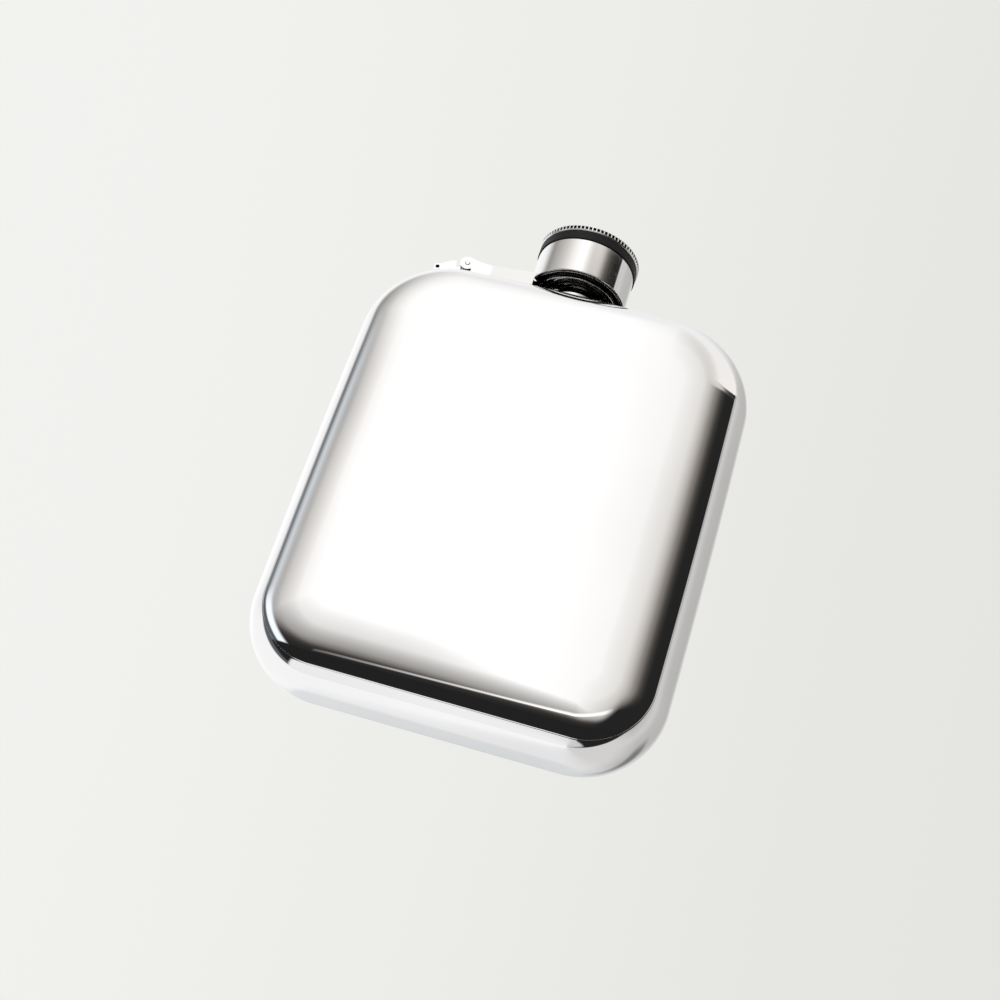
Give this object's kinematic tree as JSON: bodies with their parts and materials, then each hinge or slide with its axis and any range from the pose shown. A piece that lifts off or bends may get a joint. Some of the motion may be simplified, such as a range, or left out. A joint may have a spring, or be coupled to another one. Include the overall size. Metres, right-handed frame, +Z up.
{
  "type": "hip flask",
  "caption": "Polished metal pocket flask with a rounded cushion body and a hinged captive screw cap with a milled top disc.",
  "frame": {"origin": "middle of the flat that the flask stands on", "axes": "+Z up towards the cap, +X to the right seen from the front, -Y out of the front panel"},
  "size_m": [0.094, 0.0252, 0.1301],
  "materials": {
    "shell": "mirror-polished stainless steel with faint handling marks",
    "neck": "bright turned steel",
    "hinge": "polished steel, hand finished",
    "cap": "polished steel",
    "milled_disc": "polished steel with a milled edge",
    "grip_band": "smooth black rubber",
    "seal": "pale food-grade rubber"
  },
  "bodies": {
    "flask": {"front_panel": "shell", "back_panel": "shell", "side_band": "shell", "neck_tube": "neck", "neck_collar": "shell", "hinge_bracket": "hinge", "hinge_pin": "hinge"},
    "arm": {"hinge_arm": "hinge"},
    "cap": {"cap_skirt": "cap", "cap_barrel": "neck", "cap_seal": "seal", "retaining_ring": "neck", "cap_grip_band": "grip_band", "cap_top_disc": "milled_disc"}
  },
  "joints": [
    {"name": "arm_swing", "type": "hinge", "parent": "flask", "child": "arm", "pos_m": [-0.0277, 0, 0.11661], "axis": [0, -1, 0], "range_deg": [0, 130]},
    {"name": "cap_turn", "type": "hinge", "parent": "arm", "child": "cap", "pos_m": [0, 0, 0.11645], "axis": [0, 0, 1], "continuous": true}
  ]
}
